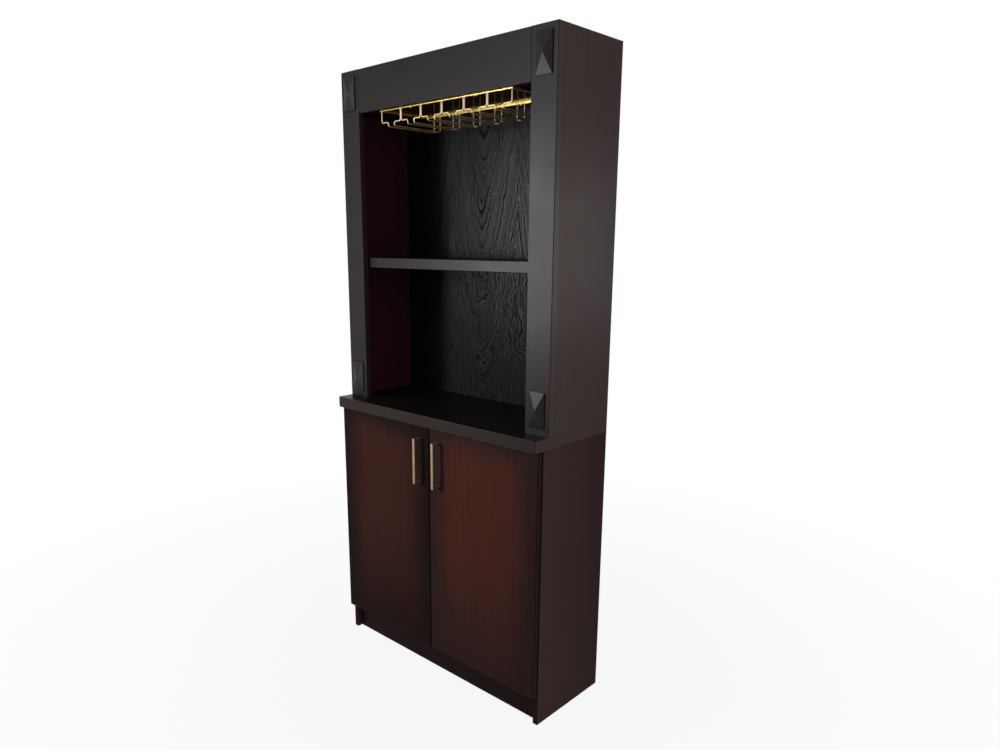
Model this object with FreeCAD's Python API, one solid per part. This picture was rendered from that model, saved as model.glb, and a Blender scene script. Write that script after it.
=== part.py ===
import FreeCAD, Part
import math
import os

# Bar armoire: a base cabinet with two doors, a counter, and an open hutch with a stemware rack.
# Millimetres, +Z up, +X to the right seen from the front, +Y to the back.
# The origin lies on the floor, under the middle of the overall box.

# Carcass
overall_width = 914.0
overall_height = 2032.0
panel = 18.0               # side, bottom, shelf, rail, soffit and roof boards
back_panel = 16.0
back_inset = 5.0           # rear edge of the sides to the back boards
base_depth = 322.0         # base sides, front edge to rear edge
hutch_depth = 300.0        # face of the stiles to the rear edge
counter_depth = 360.0
counter_height = 928.0     # floor to counter surface
counter_thickness = 38.0
counter_corner = 2.5       # radius of the two front corners
counter_edge = 1.5         # radius of the front edges
board_ease = 1.0           # radius of the edge banding on the base boards
toe_height = 98.0
toe_recess = 20.0          # front edge of the sides to the toe-kick board
rail_depth = 100.0         # flat rails that carry the counter
base_shelf_height = 480.0  # floor to underside of the inner shelf
base_shelf_setback = 30.0
shelf_side_gap = 1.0       # each end of a loose shelf to the side panel

# Face frame of the hutch
frame_thickness = 20.0
stile_width = 89.0
stile_round = 2.0          # outer front edge of a stile
frame_ease = 1.5           # radius of the other front edges of the face frame
header_height = 137.0
soffit_step = 5.0          # underside of the soffit above the lower edge of the header
block_width = 54.5
block_height = 108.0
block_base = 4.0           # straight sides of a pyramid block
block_rise = 7.0           # pyramid above the straight sides
block_tip = 1.0            # small flat at the tip
block_drop = 71.0          # top of the hutch to the middle of an upper block
block_lift = 74.5          # counter surface to the middle of a lower block

# Hutch shelf
hutch_shelf_top = 1424.0
nosing_height = 34.0
nosing_depth = 20.0
nosing_setback = 4.0       # back of the stiles to the face of the nosing
nosing_round = 2.0

# Doors
door_thickness = 18.0
door_gap = 3.0             # back of a door to the front edge of the sides
door_top_gap = 4.0
door_edge_reveal = 1.5     # outer edge of a door to the outer face of the side
door_meeting_gap = 3.0
door_round = 3.0           # front edges of a door
door_rear_round = 2.0      # upright rear edges of a door

# Pulls
pull_length = 155.0
pull_width = 9.5
pull_bar = 8.0             # thickness of the bar and height of a post
pull_projection = 30.0
pull_inset = 42.0          # meeting edge of a door to the middle of the pull
pull_drop = 40.0           # top edge of a door to the top of the pull
pull_round = 0.8
pull_screw_radius = 2.0
pull_screw_bite = 10.0     # how far a screw reaches into a post
pull_head_radius = 4.0
pull_head_height = 2.5

# Concealed hinges, two on each door
hinge_from_door_end = 100.0
cup_radius = 17.4
cup_depth = 13.4
cup_wall = 0.9
cup_floor = 0.8
cup_edge_distance = 4.0    # edge of a door to the bore of the cup
flange_thickness = 1.0
flange_lip = 1.1           # flange past the cup
wing_length = 58.0
wing_width = 10.0
cup_screw_offset = 9.5     # middle of the cup to the line of its screws
cup_screw_spacing = 48.0
cup_screw_radius = 1.7
cup_screw_length = 9.0
pin_radius = 1.0
pin_length = 17.0
pin_inset = 8.0            # edge of a door to the hinge axis
pin_depth = 10.0           # back of a door to the hinge axis
eye_radius = 1.9
arm_width = 8.0
arm_metal = 2.0
arm_slant = 0.7            # how much deeper the gooseneck lies at its far end
arm_bend = 1.0             # inner radius of the gooseneck
boss_play = 0.4            # gooseneck to each boss of the cup
arm_channel_width = 14.0
arm_channel_wall = 1.5
channel_lift = 0.8         # mounting plate to the rim of the channel
channel_play = 0.2         # spine of the mounting plate to each wall of the channel
arm_start = 3.0            # front edge of the side to the nose of the channel
arm_length = 56.0
arm_rise = 10.0            # inner face of the side to the outer face of the channel
arm_lift = 4.5             # inner face of the side to the near face of the gooseneck
plate_thickness = 2.0
plate_spine_width = 18.0
plate_spine_start = 12.0
plate_spine_length = 46.0
plate_wing_length = 50.0
plate_wing_width = 16.0
plate_hole_setback = 37.0
plate_hole_spacing = 32.0
plate_screw_radius = 1.9
plate_screw_length = 12.0
plate_head_radius = 3.4
plate_head_height = 1.8
cup_head_radius = 3.2
cup_head_height = 1.6
bumper_radius = 4.0
bumper_play = 0.3          # bumper to the board that it closes on
bumper_inset = 30.0        # meeting edge of a door to its bumpers

# Stemware rack
rack_slots = 6
rack_pitch = 93.3
slot_width = 29.3          # between the two wires of a slot, centre to centre
rack_depth = 207.0         # front bar to rear bar, centre to centre
rack_bar_height = 7.0
rack_bar_depth = 10.0
rack_bar_round = 1.5
rack_end_bar_width = 8.0
rack_header_gap = 2.0      # back of the header to the front bar
wire_radius = 2.0
wire_bend = 6.0
wire_pair_gap = 0.2
rack_step = 35.0           # underside of the bars to the shoulder of a hanger
rack_drop = 48.0           # underside of the bars to the rails
rack_screw_radius = 1.9
rack_screw_length = 20.0
rack_head_radius = 4.0
rack_head_height = 2.5
rack_screw_spacing = 280.0

# Small hardware
support_peg_radius = 2.5
support_peg_depth = 9.0
support_tab_reach = 9.0
support_tab_width = 9.0
support_tab_thickness = 2.5
support_setback = 40.0     # ends of a shelf to its supports
dowel_radius = 4.0
dowel_half = 18.0          # reach of a dowel into each board
side_dowel_bite = 10.0     # reach of a dowel into a side panel
dowel_setback = 60.0       # front and rear edges to the dowels
counter_screw_radius = 2.0
counter_screw_bite = 20.0
counter_head_radius = 4.0
counter_head_height = 2.0
counter_screw_inset = 150.0
head_round_share = 0.45    # rounding of a screw head, as a share of its height
recess_reach_share = 0.6   # arm of the cross recess, as a share of the head's radius
recess_width_share = 0.22
recess_depth_share = 0.6   # as a share of the head's height
fit = 0.05                 # radial clearance of pins, screws and dowels in their holes
hole_end = 0.5             # depth of a blind hole past the end of what sits in it

# Worked-out places
half_width = overall_width / 2
inner_half = half_width - panel
total_depth = base_depth + door_gap + door_thickness + pull_projection
y_rear = total_depth / 2
y_base = y_rear - base_depth
y_door_back = y_base - door_gap
y_door_front = y_door_back - door_thickness
y_counter = y_rear - counter_depth
y_hutch = y_rear - hutch_depth
y_hutch_case = y_hutch + frame_thickness
y_back = y_rear - back_inset - back_panel
z_counter_under = counter_height - counter_thickness
z_door_top = z_counter_under - door_top_gap
z_header = overall_height - header_height
z_soffit = z_header + soffit_step
door_width = half_width - door_edge_reveal - door_meeting_gap / 2
stile_inner = half_width - stile_width
hinge_heights = (toe_height + hinge_from_door_end, z_door_top - hinge_from_door_end)

X_AXIS = FreeCAD.Vector(1, 0, 0)
Y_AXIS = FreeCAD.Vector(0, 1, 0)
Z_AXIS = FreeCAD.Vector(0, 0, 1)
ORIGIN = FreeCAD.Vector(0, 0, 0)
PICK = 1e-3                # tolerance when an edge is picked by its place


def box(x0, x1, y0, y1, z0, z1):
    """A rectangular block between two corners."""
    return Part.makeBox(x1 - x0, y1 - y0, z1 - z0, FreeCAD.Vector(x0, y0, z0))


def rod(radius, start, end):
    """A round bar from one point to another."""
    start = FreeCAD.Vector(*start)
    along = FreeCAD.Vector(*end) - start
    return Part.makeCylinder(radius, along.Length, start, along)


def mirrored(shape):
    """The same piece on the left-hand side."""
    return shape.mirror(ORIGIN, X_AXIS)


def cut_all(shape, tools):
    """The shape with every tool taken out of it."""
    return shape.cut(Part.makeCompound(tools)) if tools else shape


def edges_along(shape, axis, keep):
    """Straight edges of a shape that run along an axis and whose middle passes a test."""
    found = []
    for edge in shape.Edges:
        run = edge.Vertexes[-1].Point - edge.Vertexes[0].Point
        if run.Length > PICK and run.cross(axis).Length < PICK and keep(edge.CenterOfMass):
            found.append(edge)
    return found


def front_edges(shape):
    """Edges that lie in the front plane of a shape."""
    return [edge for edge in shape.Edges if edge.BoundBox.YMax < shape.BoundBox.YMin + PICK]


def screw(seat, tip, radius, head_radius, head_height, grow=0.0):
    """A pan-head screw with a cross recess, from under its head to its tip, or its hole with a clearance."""
    seat = FreeCAD.Vector(*seat)
    along = FreeCAD.Vector(*tip) - seat
    piece = rod(radius + grow, (0, 0, 0), (0, 0, -along.Length - (hole_end if grow else 0.0)))
    if not grow:
        head = rod(head_radius, (0, 0, 0), (0, 0, head_height))
        rim = [edge for edge in head.Edges if edge.BoundBox.ZMin > head_height - PICK]
        head = head.makeFillet(head_height * head_round_share, rim)
        reach = head_radius * recess_reach_share
        half = head_radius * recess_width_share / 2
        low = head_height * (1 - recess_depth_share)
        cross = box(-reach, reach, -half, half, low, head_height)
        cross = cross.fuse(box(-half, half, -reach, reach, low, head_height))
        piece = piece.fuse(head.cut(cross))
    piece.Placement = FreeCAD.Placement(seat, FreeCAD.Rotation(Z_AXIS, along * -1))
    return piece


def save(node, *solids):
    """Write the solids of one node."""
    shape = solids[0] if len(solids) == 1 else Part.makeCompound(list(solids))
    if not shape.isValid():
        raise ValueError(node + " is not a valid solid")
    shape.exportStep("parts/" + node + ".step")
    print(node, len(shape.Solids), "solids", round(shape.Volume / 1000, 2), "cm3")


def save_pair(node, *solids):
    """Write a right-hand node and its mirror image on the left."""
    save(node + "_right", *solids)
    save(node + "_left", *[mirrored(solid) for solid in solids])


# Dowels and screws: the same functions give the pieces and, with a clearance, their holes

def base_dowels(grow=0.0):
    """Dowels between the base sides and the bottom board and rails."""
    heights = ((toe_height + panel / 2, (y_base + dowel_setback, y_back - dowel_setback)),
               (z_counter_under - panel / 2, (y_base + rail_depth / 2, y_back - rail_depth / 2)))
    end = hole_end if grow else 0.0
    pieces = []
    for side in (-1, 1):
        for z, places in heights:
            for y in places:
                outer = (side * (inner_half + side_dowel_bite + end), y, z)
                inner = (side * (inner_half - dowel_half - end), y, z)
                pieces.append(rod(dowel_radius + grow, inner, outer))
    return pieces


def hutch_dowels(grow=0.0):
    """Dowels that stand in the counter and locate the hutch sides."""
    end = hole_end if grow else 0.0
    pieces = []
    for side in (-1, 1):
        for y in (y_hutch_case + dowel_setback, y_rear - dowel_setback):
            x = side * (half_width - panel / 2)
            low = (x, y, counter_height - dowel_half - end)
            high = (x, y, counter_height + dowel_half + end)
            pieces.append(rod(dowel_radius + grow, low, high))
    return pieces


def counter_screw_places():
    """Places of the screws that hold the counter from below."""
    rows = (y_base + rail_depth / 2, y_back - rail_depth / 2)
    return [(side * counter_screw_inset, y) for side in (-1, 1) for y in rows]


def counter_screws(grow=0.0):
    """Screws up through the rails into the counter."""
    low = z_counter_under - panel
    top = z_counter_under + counter_screw_bite
    return [screw((x, y, low), (x, y, top), counter_screw_radius, counter_head_radius,
                  counter_head_height, grow) for x, y in counter_screw_places()]


def support_places():
    """Heights and depths of the pegs of both shelves."""
    base = (y_base + base_shelf_setback + support_setback, y_back - support_setback)
    hutch = (y_hutch_case + nosing_setback + nosing_depth + support_setback, y_back - support_setback)
    return {"base": (base_shelf_height, base), "hutch": (hutch_shelf_top - panel, hutch)}


def shelf_supports(which, grow=0.0):
    """Right-hand supports of one shelf: a peg in the side and a flat tab under the shelf."""
    height, places = support_places()[which]
    z = height - support_tab_thickness / 2
    end = hole_end if grow else 0.0
    pieces = []
    for y in places:
        outer = (inner_half + support_peg_depth + end, y, z)
        peg = rod(support_peg_radius + grow, (inner_half, y, z), outer)
        if not grow:
            half = support_tab_width / 2
            low = height - support_tab_thickness
            peg = peg.fuse(box(inner_half - support_tab_reach, inner_half, y - half, y + half, low, height))
        pieces.append(peg)
    return pieces


# Base cabinet

def base_side():
    """Right side panel, with the holes for its dowels, shelf pegs and hinge plates."""
    board = box(inner_half, half_width, y_base, y_rear, 0, z_counter_under)
    board = board.makeFillet(board_ease, edges_along(board, Z_AXIS, lambda p: p.y < y_base + PICK))
    holes = base_dowels(fit) + shelf_supports("base", fit)
    for z in hinge_heights:
        holes += plate_screws(z, fit)
    return cut_all(board, holes)


def base_bottom():
    board = box(-inner_half, inner_half, y_base, y_back, toe_height, toe_height + panel)
    board = board.makeFillet(board_ease, edges_along(board, X_AXIS, lambda p: p.y < y_base + PICK))
    return cut_all(board, base_dowels(fit))


def toe_kick():
    front = y_base + toe_recess
    return box(-inner_half, inner_half, front, front + panel, 0, toe_height)


def base_back():
    return box(-inner_half, inner_half, y_back, y_back + back_panel, 0, z_counter_under)


def base_rail(y0):
    """A flat rail under the counter."""
    board = box(-inner_half, inner_half, y0, y0 + rail_depth, z_counter_under - panel, z_counter_under)
    return cut_all(board, base_dowels(fit) + counter_screws(fit))


def base_shelf():
    half = inner_half - shelf_side_gap
    front = y_base + base_shelf_setback
    board = box(-half, half, front, y_back, base_shelf_height, base_shelf_height + panel)
    return board.makeFillet(board_ease, front_edges(board))


def counter_top():
    """Counter with rounded front corners and eased front edges."""
    slab = box(-half_width, half_width, y_counter, y_rear, z_counter_under, counter_height)
    slab = slab.makeFillet(counter_corner, edges_along(slab, Z_AXIS, lambda p: p.y < y_counter + PICK))
    rim = [edge for edge in slab.Edges if edge.BoundBox.YMax < y_counter + counter_corner + PICK
           and edge.BoundBox.ZLength < PICK]
    slab = slab.makeFillet(counter_edge, rim)
    return cut_all(slab, hutch_dowels(fit) + counter_screws(fit))


# Hutch

def hutch_side():
    board = box(inner_half, half_width, y_hutch_case, y_rear, counter_height, overall_height)
    return cut_all(board, hutch_dowels(fit) + shelf_supports("hutch", fit))


def hutch_back():
    return box(-inner_half, inner_half, y_back, y_back + back_panel, counter_height, overall_height)


def hutch_roof():
    return box(-inner_half, inner_half, y_hutch_case, y_back, overall_height - panel, overall_height)


def rack_soffit():
    board = box(-inner_half, inner_half, y_hutch_case, y_back, z_soffit, z_soffit + panel)
    return cut_all(board, rack_screws(fit))


def stile():
    """Right stile, rounded along its outer front edge and eased along the inner one."""
    board = box(stile_inner, half_width, y_hutch, y_hutch_case, counter_height, overall_height)
    outer = edges_along(board, Z_AXIS, lambda p: p.x > half_width - PICK and p.y < y_hutch + PICK)
    board = board.makeFillet(stile_round, outer)
    inner = edges_along(board, Z_AXIS, lambda p: p.x < stile_inner + PICK and p.y < y_hutch + PICK)
    return board.makeFillet(frame_ease, inner)


def header():
    board = box(-stile_inner, stile_inner, y_hutch, y_hutch_case, z_header, overall_height)
    return board.makeFillet(frame_ease, front_edges(board))


def corner_block(z):
    """Right pyramid block on a stile: a straight-sided base with a low four-sided pyramid."""
    x0 = half_width - (stile_width + block_width) / 2
    z0 = z - block_height / 2
    tip_x = (block_width - block_tip) / 2
    tip_z = (block_height - block_tip) / 2
    base = Part.makeBox(block_width, block_base, block_height)
    pyramid = Part.makeWedge(0, 0, 0, tip_z, tip_x,
                             block_width, block_rise, block_height, tip_z + block_tip, tip_x + block_tip)
    pyramid.translate(FreeCAD.Vector(0, block_base, 0))
    block = base.fuse(pyramid).removeSplitter()
    block = block.mirror(ORIGIN, Y_AXIS)
    block.translate(FreeCAD.Vector(x0, y_hutch, z0))
    return block


def hutch_shelf():
    half = inner_half - shelf_side_gap
    front = y_hutch_case + nosing_setback + nosing_depth
    return box(-half, half, front, y_back, hutch_shelf_top - panel, hutch_shelf_top)


def shelf_nosing():
    half = inner_half - shelf_side_gap
    front = y_hutch_case + nosing_setback
    low = hutch_shelf_top - nosing_height
    strip = box(-half, half, front, front + nosing_depth, low, hutch_shelf_top)
    return strip.makeFillet(nosing_round, edges_along(strip, X_AXIS, lambda p: p.y < front + PICK))


# Stemware rack

y_rack_front = y_hutch_case + rack_header_gap + rack_bar_depth / 2
y_rack_rear = y_rack_front + rack_depth
z_rack = z_soffit - rack_bar_height
rack_half = rack_slots * rack_pitch / 2
hanger_reach = (rack_pitch - slot_width) / 2


def rack_screw_places():
    return [(side * rack_screw_spacing / 2, y) for side in (-1, 1) for y in (y_rack_front, y_rack_rear)]


def rack_screws(grow=0.0):
    """Screws up through the bars into the soffit."""
    top = z_rack + rack_screw_length
    return [screw((x, y, z_rack), (x, y, top), rack_screw_radius, rack_head_radius, rack_head_height, grow)
            for x, y in rack_screw_places()]


def rack_bar(y):
    """A long bar of the rack, screwed to the soffit."""
    half = rack_bar_depth / 2
    reach = rack_half + rack_end_bar_width / 2
    bar = box(-reach, reach, y - half, y + half, z_rack, z_soffit)
    bar = bar.makeFillet(rack_bar_round, edges_along(bar, X_AXIS, lambda p: p.z < z_soffit - PICK))
    return cut_all(bar, rack_screws(fit))


def rack_end_bar():
    half = rack_end_bar_width / 2
    front = y_rack_front + rack_bar_depth / 2
    rear = y_rack_rear - rack_bar_depth / 2
    bar = box(rack_half - half, rack_half + half, front, rear, z_rack, z_soffit)
    return bar.makeFillet(rack_bar_round, edges_along(bar, Y_AXIS, lambda p: p.z < z_soffit - PICK))


def bent_wire(points):
    """A round wire along straight runs at right angles, with an arc of one bend radius at each corner."""
    points = [FreeCAD.Vector(*p) for p in points]
    edges = []
    start = points[0]
    for before, corner, after in zip(points, points[1:], points[2:]):
        back = (before - corner).normalize()
        ahead = (after - corner).normalize()
        entry = corner + back * wire_bend
        leave = corner + ahead * wire_bend
        middle = corner + (back + ahead) * wire_bend * (1 - math.sqrt(0.5))
        edges.append(Part.LineSegment(start, entry).toShape())
        edges.append(Part.Arc(entry, middle, leave).toShape())
        start = leave
    edges.append(Part.LineSegment(start, points[-1]).toShape())
    path = Part.Wire(edges)
    section = Part.Wire([Part.makeCircle(wire_radius, points[0], points[1] - points[0])])
    return path.makePipeShell([section], True, False)


def hanger_wire(x, side, lead):
    """One wire of a hanger: down, out to the slot, down again, back as a rail and up to the rear bar."""
    rail = x + side * hanger_reach
    drop = x + side * lead
    z_step = z_rack - rack_step
    z_rail = z_rack - rack_drop
    front = [(drop, y_rack_front, z_rack), (drop, y_rack_front, z_step), (rail, y_rack_front, z_step)]
    return bent_wire(front + [(rail, y_rack_front, z_rail), (rail, y_rack_rear, z_rail),
                              (rail, y_rack_rear, z_rack)])


def stop_wire(x):
    """A short wire across the rear end of the slot to the right of a hanger, between the bends of its rails."""
    inset = wire_bend * (1 - math.sqrt(0.5))
    y = y_rack_rear - inset
    z = z_rack - rack_drop + inset
    start = x + hanger_reach + wire_radius + fit
    end = x + rack_pitch - hanger_reach - wire_radius - fit
    return rod(wire_radius, (start, y, z), (end, y, z))


def hanger(index):
    """The wires of one hanger, a pair or a single wire at each end of the rack, and the stop of the next slot."""
    x = -rack_half + index * rack_pitch
    if index == 0:
        return [hanger_wire(x, 1, 0.0), stop_wire(x)]
    if index == rack_slots:
        return [hanger_wire(x, -1, 0.0)]
    lead = wire_radius + wire_pair_gap / 2
    return [hanger_wire(x, side, lead) for side in (-1, 1)] + [stop_wire(x)]


# Doors and pulls

x_pull = door_meeting_gap / 2 + pull_inset
z_pull_top = z_door_top - pull_drop
pull_screw_heights = (z_pull_top - pull_bar / 2, z_pull_top - pull_length + pull_bar / 2)


def pull():
    """Right pull: a flat bar on two posts, all in one square section."""
    front = y_door_front - pull_projection
    bar = front + pull_bar
    low = z_pull_top - pull_length
    outline = [(front, low), (y_door_front, low), (y_door_front, low + pull_bar), (bar, low + pull_bar),
               (bar, z_pull_top - pull_bar), (y_door_front, z_pull_top - pull_bar),
               (y_door_front, z_pull_top), (front, z_pull_top)]
    left = x_pull - pull_width / 2
    corners = [FreeCAD.Vector(left, y, z) for y, z in outline + outline[:1]]
    body = Part.Face(Part.makePolygon(corners)).extrude(X_AXIS * pull_width)
    body = body.makeFillet(pull_round, front_edges(body))
    return cut_all(body, pull_screws(fit))


def pull_screws(grow=0.0):
    """Screws from the back of the right door into the posts of its pull."""
    tip = y_door_front - pull_screw_bite
    return [screw((x_pull, y_door_back, z), (x_pull, tip, z), pull_screw_radius, pull_head_radius,
                  pull_head_height, grow) for z in pull_screw_heights]


def door():
    """Right door: a slab with rounded front and upright edges, hinge bores and screw holes."""
    inner = door_meeting_gap / 2
    slab = box(inner, inner + door_width, y_door_front, y_door_back, toe_height, z_door_top)
    slab = slab.makeFillet(door_round, front_edges(slab))
    slab = slab.makeFillet(door_rear_round, edges_along(slab, Z_AXIS, lambda p: p.y > y_door_back - PICK))
    holes = pull_screws(fit)
    for z in hinge_heights:
        bottom = (x_cup, y_door_back - cup_depth - fit, z)
        holes.append(rod(cup_radius + fit, bottom, (x_cup, y_door_back, z)))
        holes += cup_screws(z, fit)
    return cut_all(slab, holes)


def bumpers():
    """Bumpers on the back of the right door, against the front rail and the bottom board."""
    x = door_meeting_gap / 2 + bumper_inset
    tip = y_base - bumper_play
    low = toe_height + panel / 2
    high = (z_counter_under - panel + z_door_top) / 2
    return [rod(bumper_radius, (x, y_door_back, z), (x, tip, z)) for z in (low, high)]


# Hinges of the right door, each at height z

x_door_edge = half_width - door_edge_reveal
x_cup = x_door_edge - cup_edge_distance - cup_radius
x_pin = x_door_edge - pin_inset
y_pin = y_door_back - pin_depth
x_cup_screw = x_cup - cup_screw_offset


def hinge_cup(z):
    """Cup with its flange, and two bosses inside that hold the pin."""
    inside = cup_radius - cup_wall
    bottom = y_door_back - cup_depth
    top = y_door_back + flange_thickness
    floor = bottom + cup_floor
    outer = rod(cup_radius, (x_cup, bottom, z), (x_cup, y_door_back, z))
    flange = rod(cup_radius + flange_lip, (x_cup, y_door_back, z), (x_cup, top, z))
    wing = box(x_cup_screw - wing_width / 2, x_cup_screw + wing_width / 2, y_door_back, top,
               z - wing_length / 2, z + wing_length / 2)
    hollow = rod(inside, (x_cup, floor, z), (x_cup, top, z))
    boss_low = arm_width / 2 + boss_play
    boss = box(x_pin - eye_radius, x_door_edge, floor, y_pin + eye_radius, z - cup_radius, z + cup_radius)
    boss = boss.cut(box(x_pin - cup_radius, x_door_edge, floor, y_door_back, z - boss_low, z + boss_low))
    cup = outer.fuse([flange, wing]).cut(hollow).fuse(boss.common(outer)).removeSplitter()
    return cut_all(cup, [hinge_pin(z, fit)] + cup_screws(z, fit))


def hinge_pin(z, grow=0.0):
    half = pin_length / 2
    return rod(pin_radius + grow, (x_pin, y_pin, z - half), (x_pin, y_pin, z + half))


def cup_screws(z, grow=0.0):
    """Screws of one cup into the door."""
    pieces = []
    for height in (z - cup_screw_spacing / 2, z + cup_screw_spacing / 2):
        seat = (x_cup_screw, y_door_back + flange_thickness, height)
        tip = (x_cup_screw, y_door_back - cup_screw_length, height)
        pieces.append(screw(seat, tip, cup_screw_radius, cup_head_radius, cup_head_height, grow))
    return pieces


def hinge_arm(z):
    """Gooseneck from the pin round the rim of the door, into a channel on the mounting plate."""
    half = arm_width / 2
    metal = arm_metal / 2
    x_near = inner_half - arm_lift
    x_far = x_near - arm_metal
    y_nose = y_base + arm_start
    outline = [(x_pin, y_pin + metal), (x_near, y_pin + metal - arm_slant), (x_near, y_nose + arm_metal),
               (x_far, y_nose + arm_metal), (x_far, y_pin - metal - arm_slant), (x_pin, y_pin - metal)]
    corners = [FreeCAD.Vector(x, y, z - half) for x, y in outline + outline[:1]]
    neck = Part.Face(Part.makePolygon(corners)).extrude(Z_AXIS * arm_width)
    for x_bend, radius in ((x_near, arm_bend), (x_far, arm_bend + arm_metal)):
        bend = edges_along(neck, Z_AXIS, lambda p: abs(p.x - x_bend) < PICK and p.y < y_pin + metal)
        neck = neck.makeFillet(radius, bend)
    eye = rod(eye_radius, (x_pin, y_pin, z - half), (x_pin, y_pin, z + half))
    wide = arm_channel_width / 2
    x_roof = inner_half - arm_rise
    x_rim = inner_half - plate_thickness - channel_lift
    y_end = y_nose + arm_length
    channel = box(x_roof, x_rim, y_nose, y_end, z - wide, z + wide)
    hollow = box(x_roof + arm_channel_wall, inner_half, y_nose + arm_metal, y_end,
                 z - wide + arm_channel_wall, z + wide - arm_channel_wall)
    arm = neck.fuse([eye, channel.cut(hollow)]).removeSplitter()
    return arm.cut(hinge_pin(z, fit))


def hinge_plate(z):
    """Mounting plate on the side panel, with a spine that fills the channel of the arm."""
    x_top = inner_half - plate_thickness
    y0 = y_base + plate_spine_start
    y1 = y0 + plate_spine_length
    y_hole = y_base + plate_hole_setback
    half = plate_spine_width / 2
    base = box(x_top, inner_half, y0, y1, z - half, z + half)
    wing = box(x_top, inner_half, y_hole - plate_wing_width / 2, y_hole + plate_wing_width / 2,
               z - plate_wing_length / 2, z + plate_wing_length / 2)
    inside = arm_channel_width / 2 - arm_channel_wall - channel_play
    spine = box(inner_half - arm_rise + arm_channel_wall, x_top, y0, y1, z - inside, z + inside)
    plate = base.fuse([wing, spine]).removeSplitter()
    return cut_all(plate, plate_screws(z, fit))


def plate_screws(z, grow=0.0):
    """Screws of one mounting plate into the side panel."""
    y = y_base + plate_hole_setback
    pieces = []
    for height in (z - plate_hole_spacing / 2, z + plate_hole_spacing / 2):
        seat = (inner_half - plate_thickness, y, height)
        tip = (inner_half + plate_screw_length, y, height)
        pieces.append(screw(seat, tip, plate_screw_radius, plate_head_radius, plate_head_height, grow))
    return pieces


os.makedirs("parts", exist_ok=True)

save_pair("base_side", base_side())
save("base_bottom", base_bottom())
save("toe_kick", toe_kick())
save("base_back", base_back())
save("base_front_rail", base_rail(y_base))
save("base_rear_rail", base_rail(y_back - rail_depth))
save("base_dowels", *base_dowels())
save("base_shelf", base_shelf())
save("counter_top", counter_top())
save("counter_screws", *counter_screws())

save_pair("hutch_side", hutch_side())
save("hutch_dowels", *hutch_dowels())
save("hutch_back", hutch_back())
save("hutch_roof", hutch_roof())
save_pair("stile", stile())
save("header", header())
save_pair("corner_block_upper", corner_block(overall_height - block_drop))
save_pair("corner_block_lower", corner_block(counter_height + block_lift))
save("hutch_shelf", hutch_shelf())
save("hutch_shelf_nosing", shelf_nosing())
for which in ("base", "hutch"):
    right = shelf_supports(which)
    save(which + "_shelf_supports", *right, *[mirrored(piece) for piece in right])

save("rack_soffit", rack_soffit())
save("rack_front_bar", rack_bar(y_rack_front))
save("rack_rear_bar", rack_bar(y_rack_rear))
save_pair("rack_end_bar", rack_end_bar())
for index in range(rack_slots + 1):
    save("rack_hanger_" + str(index + 1), *hanger(index))
save("rack_screws", *rack_screws())

save_pair("door", door())
save_pair("pull", pull())
save_pair("pull_screws", *pull_screws())
save_pair("door_bumpers", *bumpers())
save_pair("hinge_cups", *[hinge_cup(z) for z in hinge_heights])
save_pair("hinge_pins", *[hinge_pin(z) for z in hinge_heights])
save_pair("hinge_cup_screws", *[piece for z in hinge_heights for piece in cup_screws(z)])
save_pair("hinge_arms", *[hinge_arm(z) for z in hinge_heights])
save_pair("hinge_plates", *[hinge_plate(z) for z in hinge_heights])
save_pair("hinge_plate_screws", *[piece for z in hinge_heights for piece in plate_screws(z)])
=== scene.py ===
# %% [markdown]
# # Dressing a bar armoire
# The carpentry of this cabinet arrives as a CAD frame: boards, doors, hinges and rack bars at their real
# size. In this lesson we keep those solids where they are and give them what CAD leaves out: lacquer,
# stain, veneer grain, brushed brass and gilt wire, then a camera and a soft studio light. Every length
# below is in metres, because the frame is, and millimetres are written with the factor `MM`.

# %% Load the frame
import math

import bpy
import numpy as np
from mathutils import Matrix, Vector


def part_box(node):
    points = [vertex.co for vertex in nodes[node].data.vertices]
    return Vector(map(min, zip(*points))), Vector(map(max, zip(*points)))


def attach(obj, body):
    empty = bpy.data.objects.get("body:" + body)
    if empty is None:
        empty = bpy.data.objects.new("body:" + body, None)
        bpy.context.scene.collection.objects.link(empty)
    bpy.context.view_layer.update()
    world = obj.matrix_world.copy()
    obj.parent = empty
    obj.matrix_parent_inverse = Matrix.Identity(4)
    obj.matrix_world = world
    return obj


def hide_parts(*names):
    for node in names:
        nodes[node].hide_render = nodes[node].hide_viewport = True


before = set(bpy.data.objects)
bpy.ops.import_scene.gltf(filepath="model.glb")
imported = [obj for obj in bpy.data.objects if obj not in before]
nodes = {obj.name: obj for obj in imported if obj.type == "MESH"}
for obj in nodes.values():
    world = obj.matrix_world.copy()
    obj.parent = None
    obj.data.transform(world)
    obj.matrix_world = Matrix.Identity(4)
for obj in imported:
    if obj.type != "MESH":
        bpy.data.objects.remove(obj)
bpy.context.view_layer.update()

MM = 0.001

# %% [markdown]
# ## The camera
# A photograph fixes a camera completely: where it stands, how it is turned, its focal length and the
# pixel that the lens axis meets. The focal length in pixels becomes a lens in millimetres through the
# sensor width, and an off-centre axis becomes a lens shift. We write those four facts down and let the
# arithmetic do the rest.

# %% Camera
image_width = 1000
image_height = 750
focal_pixels = 745.4
axis_pixel = (466.1, 412.0)
camera_place = (1.7213, -1.7754, 1.4810)
camera_turn = math.radians(43.79)      # round to the right of the cabinet
camera_tilt = math.radians(12.93)      # looking down
sensor_width = 36.0

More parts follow.
